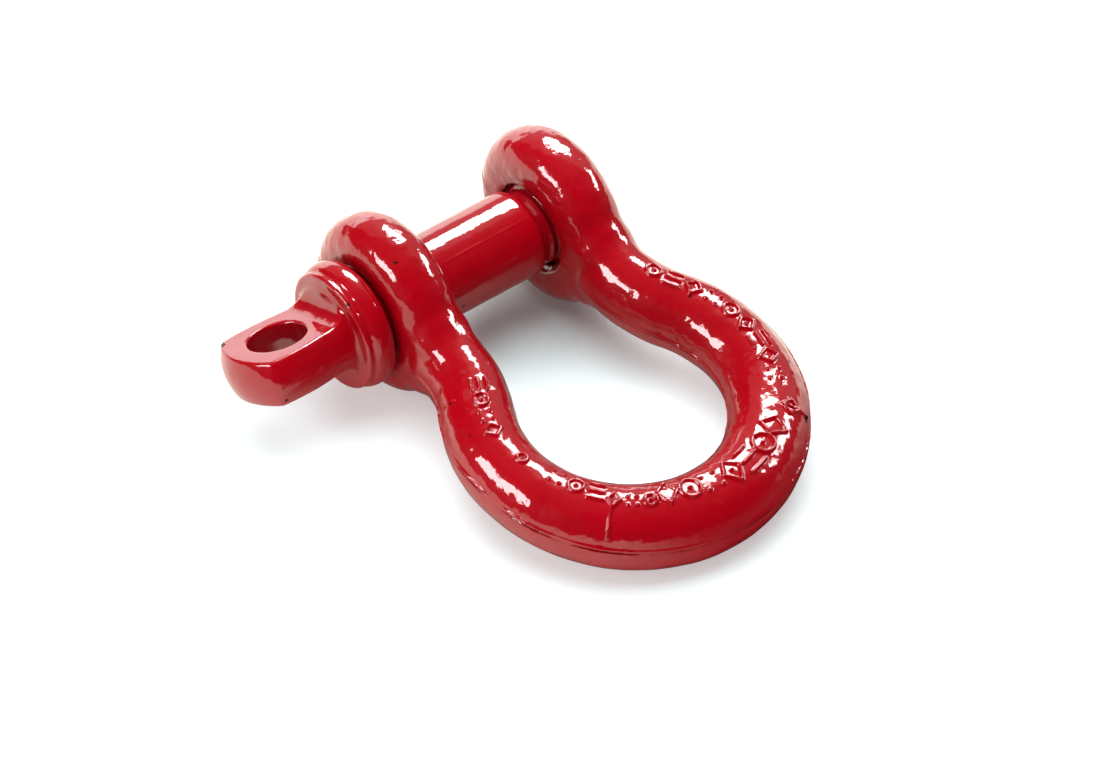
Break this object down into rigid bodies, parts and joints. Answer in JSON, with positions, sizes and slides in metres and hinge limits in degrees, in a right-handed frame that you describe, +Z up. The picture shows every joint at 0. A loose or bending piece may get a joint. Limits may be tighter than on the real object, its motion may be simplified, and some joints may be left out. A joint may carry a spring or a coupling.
{
  "type": "screw pin shackle",
  "caption": "Bow-shaped lifting shackle lying flat: a rounded bar with bored ears, closed by a removable screw pin with a collar and a flat eye.",
  "frame": {"origin": "middle of the pin's axis, halfway between the ears", "axes": "+X along the pin from its eye to its thread; the crown lies towards -Y; +Z up from the ground that the shackle lies on"},
  "size_m": [0.1144, 0.1258, 0.0458],
  "materials": {
    "red_paint": "thick gloss red enamel over forged steel, lightly rippled"
  },
  "bodies": {
    "bow": {"bow": "red_paint"},
    "screw_pin": {"screw_pin": "red_paint"}
  },
  "joints": [
    {"name": "pin_withdraw", "type": "slide", "parent": "bow", "child": "screw_pin", "axis": [-1, 0, 0], "range_m": [0, 0.085]}
  ]
}
